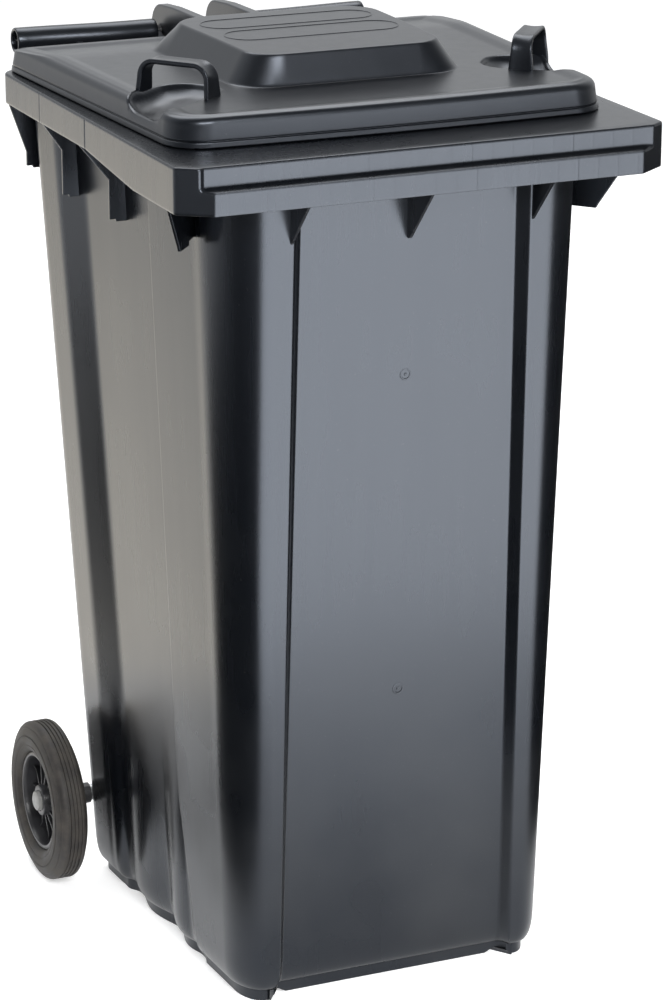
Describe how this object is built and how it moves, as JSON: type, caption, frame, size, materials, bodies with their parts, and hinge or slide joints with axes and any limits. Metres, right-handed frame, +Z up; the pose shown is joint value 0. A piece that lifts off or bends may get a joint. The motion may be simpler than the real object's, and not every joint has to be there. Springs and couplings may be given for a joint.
{
  "type": "wheelie bin",
  "caption": "Tall tapered plastic refuse bin with a ribbed comb rim, hinged lid with corner grips, rear handle bars and rubber-tyred wheels on an axle.",
  "frame": {"origin": "on the ground, under the middle of the bin's outer box", "axes": "+Z up; -Y is the front, which a lorry's comb lifts; the wheels and the handle are at +Y; +X is the right-hand side seen from the front"},
  "size_m": [0.58, 0.7298, 1.088],
  "materials": {
    "bin_plastic": "semi-gloss moulded polyethylene, dark anthracite",
    "lid_plastic": "semi-gloss moulded polyethylene, dark anthracite",
    "black_plastic": "moulded, slightly matt",
    "wheel_plastic": "moulded, slightly matt",
    "tyre": "solid rubber, dusty",
    "steel": "zinc plated",
    "cap": "light grey press-on cap"
  },
  "bodies": {
    "bin": {"body": "bin_plastic", "axle": "steel", "hinge_pin_left": "black_plastic", "axle_spacer_left": "black_plastic", "inner_washer_left": "steel", "outer_washer_left": "steel", "retaining_cap_left": "cap", "hinge_pin_right": "black_plastic", "axle_spacer_right": "black_plastic", "inner_washer_right": "steel", "outer_washer_right": "steel", "retaining_cap_right": "cap"},
    "lid": {"lid": "lid_plastic"},
    "wheel_left": {"tyre_left": "tyre", "wheel_rim_left": "wheel_plastic", "wheel_bush_inner_left": "black_plastic", "wheel_bush_outer_left": "black_plastic"},
    "wheel_right": {"tyre_right": "tyre", "wheel_rim_right": "wheel_plastic", "wheel_bush_inner_right": "black_plastic", "wheel_bush_outer_right": "black_plastic"}
  },
  "joints": [
    {"name": "lid_hinge", "type": "hinge", "parent": "bin", "child": "lid", "pos_m": [0, 0.34, 1.027], "axis": [-1, 0, 0], "range_deg": [0, 270]},
    {"name": "wheel_left_spin", "type": "hinge", "parent": "bin", "child": "wheel_left", "pos_m": [0, 0.183, 0.1], "axis": [1, 0, 0], "continuous": true},
    {"name": "wheel_right_spin", "type": "hinge", "parent": "bin", "child": "wheel_right", "pos_m": [0, 0.183, 0.1], "axis": [1, 0, 0], "continuous": true}
  ]
}
